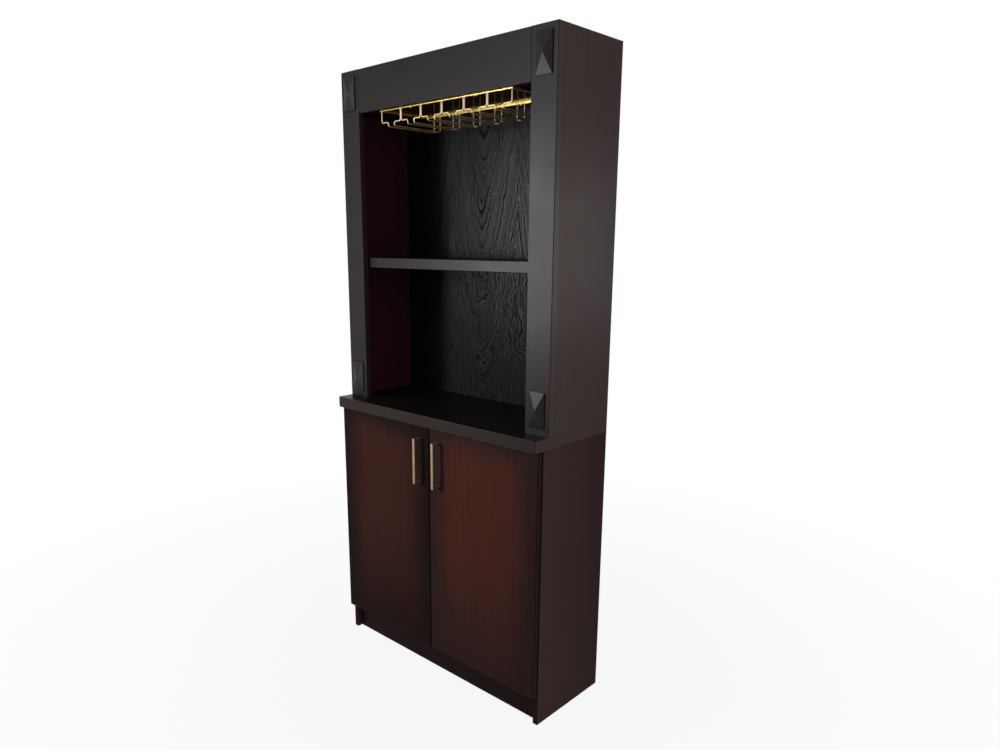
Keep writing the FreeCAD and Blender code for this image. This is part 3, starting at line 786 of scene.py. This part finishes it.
def grid_faces(rows, columns):
    """Corner numbers of the cells between neighbouring rows, with the last column joined to the first."""
    row_starts = np.arange(rows - 1)[:, None] * columns
    column = np.arange(columns)[None, :]
    start = (row_starts + column).ravel()
    ahead = (row_starts + (column + 1) % columns).ravel()
    return np.stack([start, ahead, ahead + columns, start + columns], axis=1)


def capped_faces(rows, columns):
    """The cells of a grid, with one flat face over its first row and one over its last."""
    last = (rows - 1) * columns
    caps = [list(range(columns))[::-1], list(range(last, last + columns))]
    return grid_faces(rows, columns).tolist() + caps


def gather(parts):
    """Several (points, faces) pairs as one."""
    starts = np.cumsum([0] + [len(points) for points, _ in parts])
    faces = [[corner + int(start) for corner in face]
             for start, (_, part) in zip(starts, parts) for face in part]
    return np.vstack([points for points, _ in parts]), faces


print("3 rings of 16 points, with caps, have", len(capped_faces(3, 16)), "faces")

# %% [markdown]
# ## A piece on its body
# A mesh becomes a piece of the cabinet when it rides on one of the CAD bodies, so that it moves with a
# door or stays with the carcase. Gentle bends are shaded smooth, and true edges stay crisp.

# %% Piece helper
sharp_edge = math.radians(40)          # edges that turn more than this stay crisp


def new_piece(name, points, faces, material, body, slot):
    """A smooth-shaded mesh that rides on a body and wears the given material; `slot` is not used."""
    mesh = bpy.data.meshes.new(name)
    mesh.from_pydata(points.tolist(), [], faces)
    mesh.validate()
    mesh.shade_smooth()
    mesh.set_sharp_from_angle(angle=sharp_edge)
    mesh.materials.append(material)
    piece = bpy.data.objects.new(name, mesh)
    scene.collection.objects.link(piece)
    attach(piece, body)
    return piece


print("edges stay crisp above", round(math.degrees(sharp_edge)), "degrees")

# %% [markdown]
# ## Bending round wire
# A hanger of the rack is bent from round wire, and a circle carried along a path makes the tube. The
# corners of the path are true quarter circles, so the polished wire bends its highlights smoothly. Every
# direction along the path lies in a plane of the frame, so one slanted reference direction is enough to
# keep the circles from twisting.

# %% Tube along a bent path
wire_radius = 2.0 * MM
wire_bend = 6.0 * MM
slanted = np.array([0.37, 0.53, 0.76])


def bent_path(corners, bend, steps=9):
    """Points and directions: each corner c becomes c + bend (1 - sin t) back + bend (1 - cos t) ahead."""
    corners = np.array(corners)
    runs = np.diff(corners, axis=0)
    runs /= np.linalg.norm(runs, axis=1, keepdims=True)
    turn = np.linspace(0.0, math.pi / 2, steps)[None, :, None]
    back = -runs[:-1, None, :]
    ahead = runs[1:, None, :]
    arcs = corners[1:-1, None, :] + bend * ((1 - np.sin(turn)) * back + (1 - np.cos(turn)) * ahead)
    headings = ahead * np.sin(turn) - back * np.cos(turn)
    points = np.vstack([corners[:1], arcs.reshape(-1, 3), corners[-1:]])
    return points, np.vstack([runs[:1], headings.reshape(-1, 3), runs[-1:]])


def tube(points, headings, radius, sides=16):
    """Circles square to a path: point + radius (cos a normal + sin a binormal), with closed ends."""
    normal = np.cross(headings, slanted)
    normal /= np.linalg.norm(normal, axis=1, keepdims=True)
    binormal = np.cross(headings, normal)
    angle = full_turn(sides)[None, :, None]
    circle = np.cos(angle) * normal[:, None] + np.sin(angle) * binormal[:, None]
    rings = points[:, None, :] + radius * circle
    return rings.reshape(-1, 3), capped_faces(len(points), sides)


def rod(start, end, radius):
    """A straight round bar between two points."""
    ends = np.array([start, end])
    heading = (ends[1] - ends[0]) / np.linalg.norm(ends[1] - ends[0])
    return tube(ends, np.stack([heading, heading]), radius)


print("wire of", 2 * wire_radius / MM, "mm, bent round", wire_bend / MM, "mm")

# %% [markdown]
# ## Where the wires run
# Two flat bars, one in front and one behind, carry the hangers. The CAD boxes of these bars and of the
# last hanger hold nearly all the sizes that we need, so the wires stay seated if the cabinet changes.
# Only the number of hangers, the drop of the shoulder and the gap between twin wires are given here.

# %% Places of the wires
hanger_count = 7
shoulder_drop = 35.0 * MM
pair_gap = 0.2 * MM

front_low, front_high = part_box("rack_front_bar")
rear_low, rear_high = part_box("rack_rear_bar")
last_low, last_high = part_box("rack_hanger_7")
y_front = (front_low.y + front_high.y) / 2
y_rear = (rear_low.y + rear_high.y) / 2
z_bar = front_low.z
z_shoulder = z_bar - shoulder_drop
z_rail = last_low.z + wire_radius
rack_half = last_high.x - wire_radius
reach = rack_half - (last_low.x + wire_radius)
twin = wire_radius + pair_gap / 2
middles = np.linspace(-rack_half, rack_half, hanger_count)
pitch = middles[1] - middles[0]
print("hangers", round(pitch / MM, 1), "mm apart with rails of", round((y_rear - y_front) / MM), "mm")

# %% [markdown]
# ## Wire hangers
# Each hanger starts at the front bar: down, out to the edge of its slot, down again, straight back as a
# rail, and up to the rear bar. Inner hangers are two wires side by side, and the end ones a single wire.
# A short wire across the rear end of each slot stops whatever slides along the rails.

# %% Hangers
def wire(dropper, rail):
    """One wire from the front bar to the rear bar."""
    corners = [(dropper, y_front, z_bar), (dropper, y_front, z_shoulder), (rail, y_front, z_shoulder),
               (rail, y_front, z_rail), (rail, y_rear, z_rail), (rail, y_rear, z_bar)]
    return tube(*bent_path(corners, wire_bend), wire_radius)


def stop(middle, following):
    """The short wire that closes the rear end of a slot, between the bends of two neighbouring rails."""
    inset = wire_bend * (1 - math.sqrt(0.5))
    return rod((middle + reach, y_rear - inset, z_rail + inset),
               (following - reach, y_rear - inset, z_rail + inset), wire_radius)


end_sides = {1: (1,), hanger_count: (-1,)}     # the end hangers have a wire on their inner side alone
droppers = []
rails = []
for number, middle in enumerate(middles, start=1):
    sides = end_sides.get(number, (-1, 1))
    apart = twin * (len(sides) - 1)            # a single dropper stands in the middle
    pairs = [(middle + side * apart, middle + side * reach) for side in sides]
    parts = [wire(*pair) for pair in pairs]
    if number < hanger_count:
        parts.append(stop(middle, middles[number]))
    piece = new_piece("hanger_wire_%d" % number, *gather(parts), wire_gilt, "cabinet", "rack_brass")
    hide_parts("rack_hanger_%d" % number)
    droppers += [dropper for dropper, _ in pairs]
    rails += [rail for _, rail in pairs]
print("hangers:", len(droppers), "wires and", hanger_count - 1, "stops")

# %% [markdown]
# ## Weld beads
# Wire meets bar in a small ring of weld. A bead is a closed profile turned about the wire: a hollow
# quarter circle between bar and wire, closed inside the metal where nobody looks. All beads are one
# array, the same ring moved to every place at once.

# %% Beads
bead_width = 1.3 * MM


def weld_beads(places, radius, width, sides=20, steps=5):
    """Rings with radius r + w (1 - sin t) at a depth of w (1 - cos t) below each place, closed inside."""
    t = np.linspace(0.0, math.pi / 2, steps)
    out = np.concatenate([radius + width * (1 - np.sin(t)), [radius / 2, radius / 2]])
    down = np.concatenate([width * (1 - np.cos(t)), [width, 0.0]])
    angle = full_turn(sides)[:, None]
    ring = np.stack([np.cos(angle) * out, np.sin(angle) * out, -np.ones_like(angle) * down], axis=2)
    points = (np.array(places)[:, None, None, :] + ring[None]).reshape(-1, 3)
    count = len(out)
    closing = grid_faces(2, count) % count + np.array([sides - 1, sides - 1, 0, 0]) * count
    faces = np.vstack([grid_faces(sides, count), closing])
    starts = np.arange(len(places)) * sides * count
    return points, (faces[None] + starts[:, None, None]).reshape(-1, 4).tolist()


bead_places = [(x, y_front, z_bar) for x in droppers] + [(x, y_rear, z_bar) for x in rails]
beads = weld_beads(bead_places, wire_radius, bead_width)
new_piece("rack_weld_beads", *beads, wire_gilt, "cabinet", "rack_brass")
print("weld beads:", len(bead_places))

# %% [markdown]
# ## Brazed seams
# Twin droppers are brazed into one. The braze is a thin rod that fills the groove between the two wires,
# once in front and once behind, from the bar down to the bend of the shoulder.

# %% Seams
seam_radius = 0.8 * MM
seam_offset = 1.5 * MM


def seam(x, side):
    """A rod in the groove of a pair of droppers, in front of it or behind it."""
    y = y_front + side * seam_offset
    return rod((x, y, z_bar), (x, y, z_shoulder + wire_bend), seam_radius)


seams = [seam(x, side) for x in middles[1:-1] for side in (-1, 1)]
new_piece("rack_brazed_seams", *gather(seams), wire_gilt, "cabinet", "rack_brass")
print("brazed seams:", len(seams))

# %% [markdown]
# ## Domed bumpers
# The bumpers on the backs of the doors are little domes of rubber. Turning a rounded quarter profile
# about the axis of the bumper gives the dome, and its flat back closes it against the door. The profile
# stops just short of the axis, where a small flat cap closes it without a pole.

# %% Bumpers
dome_end = 0.49 * math.pi


def domes(places, radius, height, sides=24, steps=8):
    """Domes along +Y: radius r cos(t)^0.5 at a height of h sin(t), with a flat base and a small cap."""
    t = np.linspace(0.0, dome_end, steps)[:, None]
    angle = full_turn(sides)[None, :]
    out = radius * np.sqrt(np.cos(t))
    rise = height * np.sin(t) * np.ones_like(angle)
    ring = np.stack([np.sin(angle) * out, rise, np.cos(angle) * out], axis=2).reshape(-1, 3)
    faces = capped_faces(steps, sides)
    return gather([(ring + np.array(place), faces) for place in places])


for side in ("left", "right"):
    low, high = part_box("door_bumpers_" + side)
    radius = (high.x - low.x) / 2
    middle = (high.x + low.x) / 2
    spots = [(middle, low.y, low.z + radius), (middle, low.y, high.z - radius)]
    piece = new_piece("bumper_domes_" + side, *domes(spots, radius, high.y - low.y), bumper_rubber,
                      side + "_door", "bumper_rubber")
    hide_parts("door_bumpers_" + side)
print("bumper domes on both doors")
